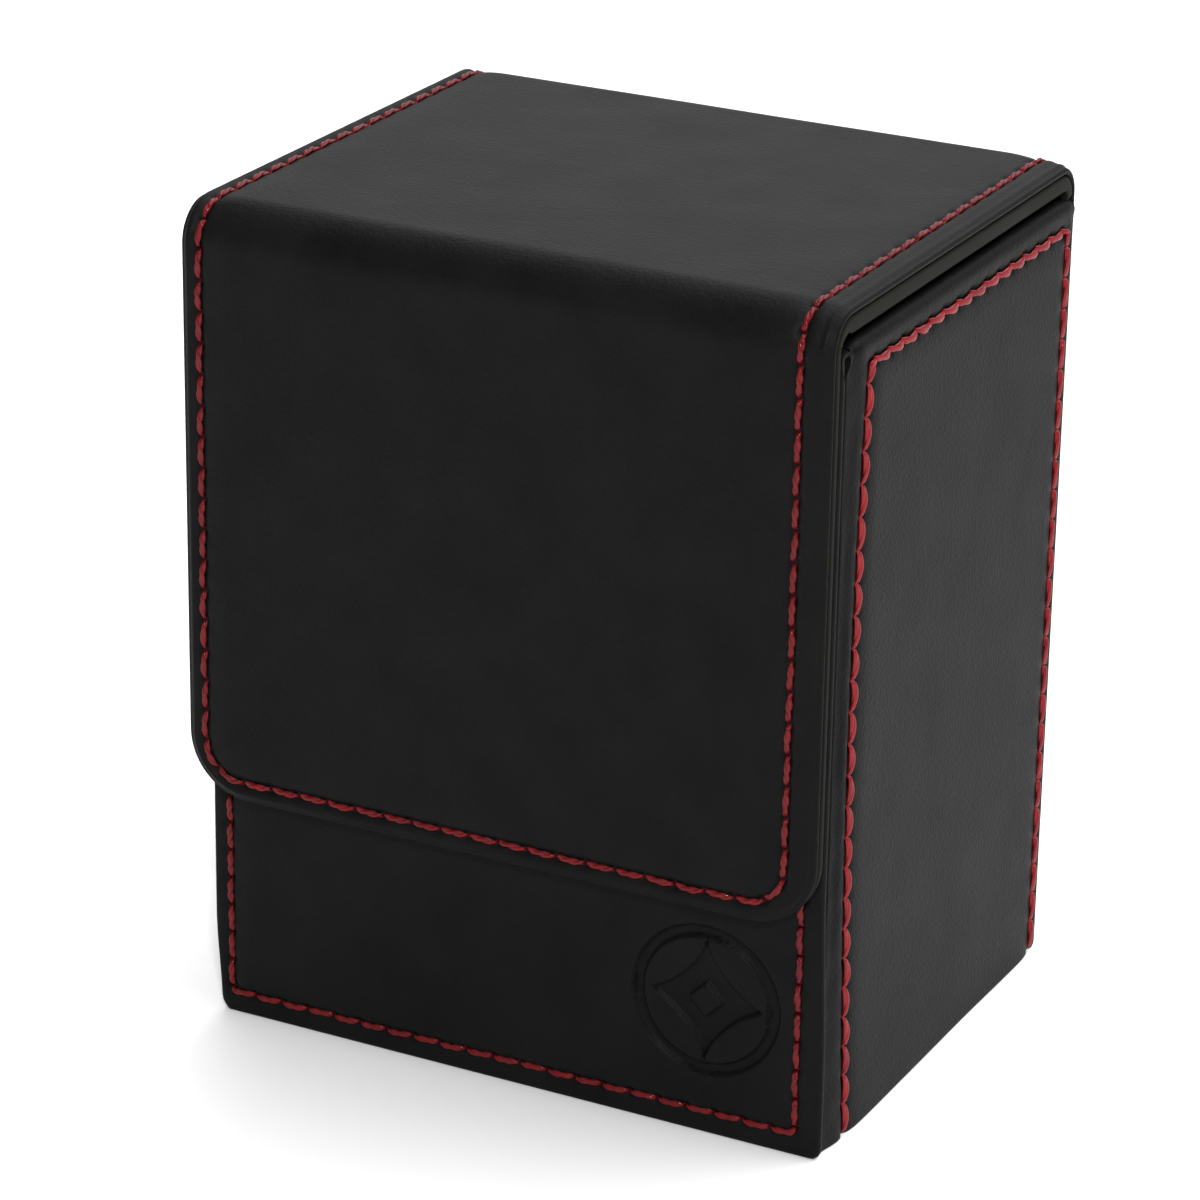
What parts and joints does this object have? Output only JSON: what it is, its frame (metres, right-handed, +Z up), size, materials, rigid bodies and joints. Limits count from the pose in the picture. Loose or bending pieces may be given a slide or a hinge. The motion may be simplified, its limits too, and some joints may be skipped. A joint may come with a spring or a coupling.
{
  "type": "card deck box",
  "caption": "Upright leatherette box for sleeved cards, with a wrap-around cover that opens as a hinged lid and magnetic front flap.",
  "frame": {"origin": "middle of the closed box's footprint, on the surface it stands on", "axes": "+X to the box's right side seen from the front, +Y to its back, +Z up"},
  "size_m": [0.0869, 0.0732, 0.1083],
  "materials": {
    "leatherette": "satin",
    "cover_lining": "satin",
    "microfibre": "matte",
    "greyboard": "matte",
    "thread": "satin",
    "magnet": "satin"
  },
  "bodies": {
    "tray": {"base_leather": "leatherette", "base_board": "greyboard", "base_lining": "microfibre", "front_leather": "leatherette", "front_board": "greyboard", "front_lining": "microfibre", "front_stitching": "thread", "keeper_magnet_left": "magnet", "keeper_magnet_right": "magnet", "left_leather": "leatherette", "left_board": "greyboard", "left_lining": "microfibre", "left_stitching": "thread", "right_leather": "leatherette", "right_board": "greyboard", "right_lining": "microfibre", "right_stitching": "thread", "back_board": "greyboard", "back_lining": "microfibre", "cover_back_leather": "leatherette", "cover_back_board": "greyboard", "cover_back_stitching": "thread", "back_hinge_leather": "leatherette", "back_hinge_lining": "cover_lining"},
    "lid": {"lid_leather": "leatherette", "lid_board": "greyboard", "lid_lining": "cover_lining", "lid_stitching_left": "thread", "lid_stitching_right": "thread", "front_hinge_leather": "leatherette", "front_hinge_lining": "cover_lining"},
    "flap": {"flap_leather": "leatherette", "flap_board": "greyboard", "flap_lining": "cover_lining", "flap_stitching": "thread", "flap_magnet_left": "magnet", "flap_magnet_right": "magnet"}
  },
  "joints": [
    {"name": "lid_hinge", "type": "hinge", "parent": "tray", "child": "lid", "pos_m": [0, 0.03533, 0.10703], "axis": [-1, 0, 0], "range_deg": [0, 175], "deforming": ["back_hinge_leather", "back_hinge_lining"]},
    {"name": "flap_hinge", "type": "hinge", "parent": "lid", "child": "flap", "pos_m": [0, -0.03512, 0.10682], "axis": [-1, 0, 0], "range_deg": [0, 90], "deforming": ["front_hinge_leather", "front_hinge_lining"]}
  ]
}
